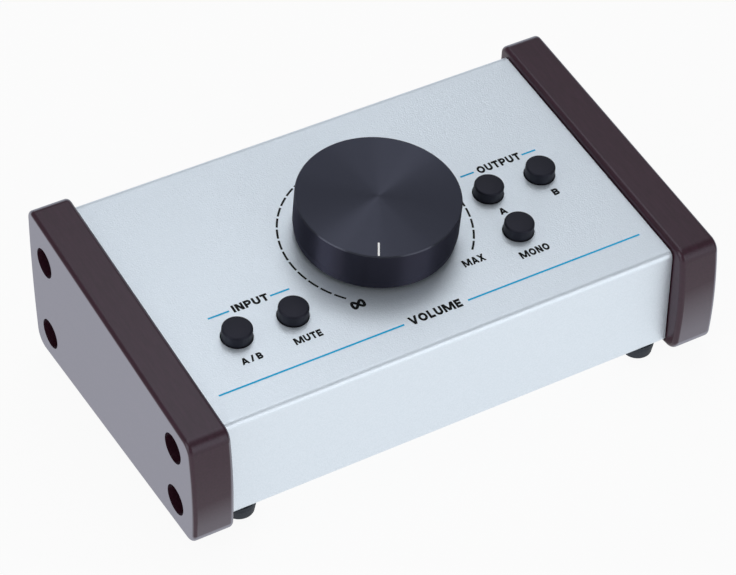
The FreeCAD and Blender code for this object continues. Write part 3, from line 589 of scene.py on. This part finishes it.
plating_cloud = 0.8e-3
button_names = ("input_ab", "mute", "output_a", "output_b", "mono")

zinc_steel = new_material("bright_zinc_steel", {"Metallic": 1.0, "Base Color": linear("#b9bcbf")})
where = add_node(zinc_steel, "ShaderNodeTexCoord", {}).outputs["Object"]
cloud = add_node(
    zinc_steel, "ShaderNodeTexNoise", {"Vector": where, "Scale": 1 / plating_cloud, "Detail": 3.0}
)
dull = add_node(
    zinc_steel,
    "ShaderNodeMapRange",
    {"Value": cloud.outputs["Fac"], "To Min": 0.22, "To Max": 0.45},
)
feed(zinc_steel, "Roughness", dull.outputs["Result"])
finish(zinc_steel, "left_cheek_screws", "right_cheek_screws", "clinch_nuts", "foot_screws")
finish(zinc_steel, "case_screws", "board_pillars", "board_screws")
finish(zinc_steel, "knob_set_screw", "volume_shaft")
finish(zinc_steel, *[f"{name}_spring" for name in button_names])


# ------------------------------------------------------------------ feet
# Four round feet moulded in black rubber, each with a recess below for its screw. The front pair's
# screws also hold the cover's turned-in edge. Rubber is matt with a fine, slightly dusty skin.

rubber_skin = 0.5e-3
skin_depth = 0.1e-3

black_rubber = new_material("moulded_black_rubber", {"Roughness": 0.7, "Specular IOR Level": 0.35})
where = add_node(black_rubber, "ShaderNodeTexCoord", {}).outputs["Object"]
skin = add_node(
    black_rubber, "ShaderNodeTexNoise", {"Vector": where, "Scale": 1 / rubber_skin, "Detail": 3.0}
).outputs["Fac"]
dust = add_node(
    black_rubber, "ShaderNodeValToRGB", {"Fac": skin}, stops=((0, "#191d24"), (1, "#333a44"))
)
feed(black_rubber, "Base Color", dust.outputs["Color"])
relief = add_node(
    black_rubber, "ShaderNodeBump", {"Height": skin, "Strength": 0.2, "Distance": skin_depth}
)
feed(black_rubber, "Normal", relief.outputs["Normal"])
finish(black_rubber, "front_left_foot", "front_right_foot", "rear_left_foot", "rear_right_foot")


# ------------------------------------------------------------------ circuit boards
# Glass-fibre laminate under green solder resist. Strips of copper show through the resist,
# slightly lighter and raised, in two rows to each step of the usual 2.54 mm raster.

track_raster = 2.54e-3
track_height = 0.04e-3

green_board = new_material("green_circuit_board", {"Roughness": 0.35})
where = add_node(green_board, "ShaderNodeTexCoord", {}).outputs["Object"]
tracks = add_node(
    green_board,
    "ShaderNodeTexBrick",
    {
        "Vector": where,
        "Scale": 1 / track_raster,
        "Color1": linear("#0d5a2c"),
        "Color2": linear("#0f6432"),
        "Mortar": linear("#0a4221"),
        "Mortar Size": 0.08,
        "Brick Width": 3.0,
        "Row Height": 0.5,
    },
)
feed(green_board, "Base Color", tracks.outputs["Color"])
raised = add_node(
    green_board,
    "ShaderNodeBump",
    {"Height": tracks.outputs["Fac"], "Strength": 0.4, "Distance": track_height},
    invert=True,
)
feed(green_board, "Normal", raised.outputs["Normal"])
finish(green_board, "control_board", "jack_board")


# ------------------------------------------------------------------ black plastic
# Sockets, switch housings, plungers, headers and the potentiometer's case are moulded in black
# glass-filled nylon. The mould is spark-eroded, which leaves a fine matt texture.

mould_texture = 0.35e-3  # a real one is two or three times finer; it is as coarse as shows
texture_depth = 0.05e-3


def black_moulding(name, dark, light, sockets):
    """Injection-moulded black plastic with a fine even texture."""
    material = new_material(name, sockets)
    spot = add_node(material, "ShaderNodeTexCoord", {}).outputs["Object"]
    texture = add_node(
        material, "ShaderNodeTexNoise", {"Vector": spot, "Scale": 1 / mould_texture, "Detail": 2.0}
    ).outputs["Fac"]
    shade = add_node(
        material, "ShaderNodeValToRGB", {"Fac": texture}, stops=((0, dark), (1, light))
    )
    feed(material, "Base Color", shade.outputs["Color"])
    bump = add_node(
        material, "ShaderNodeBump", {"Height": texture, "Strength": 0.25, "Distance": texture_depth}
    )
    feed(material, "Normal", bump.outputs["Normal"])
    return material


filled_nylon = black_moulding("black_glass_filled_nylon", "#101113", "#1f2124", {"Roughness": 0.5})
for group in ("output_b", "output_a", "input_a"):
    finish(filled_nylon, f"{group}_left_jack", f"{group}_right_jack")
for name in button_names:
    finish(filled_nylon, f"{name}_switch", f"{name}_plunger")
finish(filled_nylon, "input_b_mini_jack", "ribbon_headers", "volume_pot_case")


# ------------------------------------------------------------------ button caps
# Caps moulded in soft-touch black ABS, slightly domed with a rounded edge, and pushed onto the
# plungers. They are darker than the parts below and have a faint blue sheen.

soft_abs = black_moulding(
    "soft_touch_black_abs",
    "#050509",
    "#0d0d15",
    {"Roughness": 0.5, "Specular IOR Level": 0.42, "Specular Tint": linear("#dce0ff")},
)
finish(soft_abs, *[f"{name}_cap" for name in button_names])


# ------------------------------------------------------------------ return springs
# A coil spring of the zinc-plated wire stands round the pin of each plunger, on the floor of the
# housing. It is wound to its free length and shortens by the plunger's travel when the button goes
# in, but here each is a copy of its part with a mesh of its own, fixed to the body at that length.

for name in button_names:
    wound = frame["nodes"][f"{name}_spring"].data
    spring = bpy.data.objects.new(f"{name}_coil", wound.copy())
    bpy.context.scene.collection.objects.link(spring)
    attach(spring, "body")
    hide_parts(f"{name}_spring")
    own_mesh(spring)


# ------------------------------------------------------------------ potentiometer metal, jack nuts
# The bushing, the wipers and the knob's hub are turned brass. The nuts and the washer are brass
# plated with bright nickel. The potentiometer's two resistive tracks are printed carbon.

turning_pitch = 0.25e-3


def turned_metal(name, colour, smooth, rough):
    """Plain metal with fine streaks from the lathe."""
    material = new_material(name, {"Metallic": 1.0, "Base Color": linear(colour)})
    spot = add_node(material, "ShaderNodeTexCoord", {}).outputs["Object"]
    streak = add_node(
        material, "ShaderNodeTexNoise", {"Vector": spot, "Scale": 1 / turning_pitch, "Detail": 1.0}
    )
    dull = add_node(
        material,
        "ShaderNodeMapRange",
        {"Value": streak.outputs["Fac"], "To Min": smooth, "To Max": rough},
    )
    feed(material, "Roughness", dull.outputs["Result"])
    return material


brass = turned_metal("turned_brass", "#c9a457", smooth=0.2, rough=0.4)
finish(brass, "knob_hub", "volume_wipers", "volume_bushing")
nickel = turned_metal("bright_nickel", "#b5b3ad", smooth=0.12, rough=0.28)
finish(nickel, "jack_nuts", "volume_nut", "volume_washer")

carbon_grain = 0.25e-3

carbon_track = new_material("printed_carbon_track", {"Base Color": linear("#1c1c1d")})
spot = add_node(carbon_track, "ShaderNodeTexCoord", {}).outputs["Object"]
paste = add_node(
    carbon_track, "ShaderNodeTexNoise", {"Vector": spot, "Scale": 1 / carbon_grain, "Detail": 2.0}
)
dull = add_node(
    carbon_track,
    "ShaderNodeMapRange",
    {"Value": paste.outputs["Fac"], "To Min": 0.4, "To Max": 0.8},
)
feed(carbon_track, "Roughness", dull.outputs["Result"])
finish(carbon_track, "volume_pot_tracks")


# ------------------------------------------------------------------ ribbon cable
# Ten-way flat cable in grey PVC, clamped in a header at either end. It has one round ridge for
# each conductor, at a pitch of 1.27 mm.

conductor_pitch = 1.27e-3
ridge_height = 0.3e-3
waves_factor = 20  # a wave texture multiplies its scale by this

grey_pvc = new_material("grey_pvc_ribbon", {"Roughness": 0.45})
where = add_node(grey_pvc, "ShaderNodeTexCoord", {}).outputs["Object"]
ridge = add_node(
    grey_pvc,
    "ShaderNodeTexWave",
    {"Vector": where, "Scale": 2 * math.pi / conductor_pitch / waves_factor},
    bands_direction="X",
).outputs["Fac"]
# Painted shade: the colour follows the ridges, lighter on their crests and darker in the grooves
# between them.
shade = add_node(
    grey_pvc, "ShaderNodeValToRGB", {"Fac": ridge}, stops=((0, "#7d8083"), (1, "#a3a6a8"))
)
feed(grey_pvc, "Base Color", shade.outputs["Color"])
relief = add_node(
    grey_pvc, "ShaderNodeBump", {"Height": ridge, "Strength": 0.6, "Distance": ridge_height}
)
feed(grey_pvc, "Normal", relief.outputs["Normal"])
finish(grey_pvc, "ribbon_cable")


# ------------------------------------------------------------------ volume knob
# Turned from aluminium bar and anodised black, with a fine-cut face and a side cut at a coarser
# feed. The tool leaves circular grooves all over it, which spread the light across them: as rays
# on the face and as upright bands round the side. The pointer is a groove filled with white paint.

groove_pitch = 0.45e-3  # a real one is ten times finer; it is as coarse as shows
groove_smooth, groove_rough = 0.28, 0.36
side_roughness = 0.1  # added on the side
side_ends, rim_middle, face_starts = 0.5, 0.7, 0.9  # how far a surface faces out of the panel

black_anodised = new_material(
    "turned_black_anodised_aluminium",
    {"Metallic": 1.0, "Anisotropic": 1.0, "Specular Tint": linear("#dadae2")},
)
where = add_node(black_anodised, "ShaderNodeTexCoord", {}).outputs
from_centre = add_node(
    black_anodised,
    "ShaderNodeVectorMath",
    {0: where["Object"], 1: knob_centre},
    operation="SUBTRACT",
).outputs["Vector"]
round_axis = add_node(
    black_anodised, "ShaderNodeVectorMath", {0: panel_up, 1: from_centre}, operation="CROSS_PRODUCT"
).outputs["Vector"]
radius = add_node(
    black_anodised, "ShaderNodeVectorMath", {0: round_axis}, operation="LENGTH"
).outputs["Value"]

# The shader spreads light along its tangent, so the tangent is laid across the grooves.
across = add_node(
    black_anodised,
    "ShaderNodeVectorMath",
    {0: round_axis, 1: where["Normal"]},
    operation="CROSS_PRODUCT",
).outputs["Vector"]
across_world = add_node(
    black_anodised,
    "ShaderNodeVectorTransform",
    {0: across},
    vector_type="VECTOR",
    convert_from="OBJECT",
    convert_to="WORLD",
).outputs["Vector"]
tangent = add_node(
    black_anodised, "ShaderNodeVectorMath", {0: across_world}, operation="NORMALIZE"
)
feed(black_anodised, "Tangent", tangent.outputs["Vector"])

upward = add_node(
    black_anodised,
    "ShaderNodeVectorMath",
    {0: where["Normal"], 1: panel_up},
    operation="DOT_PRODUCT",
).outputs["Value"]
grooves = add_node(
    black_anodised,
    "ShaderNodeTexNoise",
    {"W": radius, "Scale": 1 / groove_pitch, "Detail": 2.0},
    noise_dimensions="1D",
)
cut = add_node(
    black_anodised,
    "ShaderNodeMapRange",
    {"Value": grooves.outputs["Fac"], "To Min": groove_smooth, "To Max": groove_rough},
)
coarser = add_node(
    black_anodised,
    "ShaderNodeMapRange",
    {
        "Value": upward,
        "From Min": side_ends,
        "From Max": rim_middle,
        "To Min": side_roughness,
        "To Max": 0.0,
    },
)
feed_marks = add_node(
    black_anodised, "ShaderNodeMath", {0: cut.outputs["Result"], 1: coarser.outputs["Result"]}
)
feed(black_anodised, "Roughness", feed_marks.outputs["Value"])
# The base colour follows which way the surface faces: lightest on the rim's chamfer, as a painted
# highlight, and darkest round the side, as painted shade; the face lies between.
shade = add_node(
    black_anodised,
    "ShaderNodeValToRGB",
    {"Fac": upward},
    stops=((side_ends, "#373743"), (rim_middle, "#464852"), (face_starts, "#3e404b")),
)
feed(black_anodised, "Base Color", shade.outputs["Color"])
finish(black_anodised, "volume_knob")

brush_marks = 0.45e-3
brush_depth = 0.05e-3

white_paint = new_material(
    "white_pointer_paint", {"Base Color": linear("#fdfdfb"), "Roughness": 0.35}
)
spot = add_node(white_paint, "ShaderNodeTexCoord", {}).outputs["Object"]
brushed = add_node(white_paint, "ShaderNodeTexNoise", {"Vector": spot, "Scale": 1 / brush_marks})
relief = add_node(
    white_paint,
    "ShaderNodeBump",
    {"Height": brushed.outputs["Fac"], "Strength": 0.2, "Distance": brush_depth},
)
feed(white_paint, "Normal", relief.outputs["Normal"])
finish(white_paint, "knob_pointer")
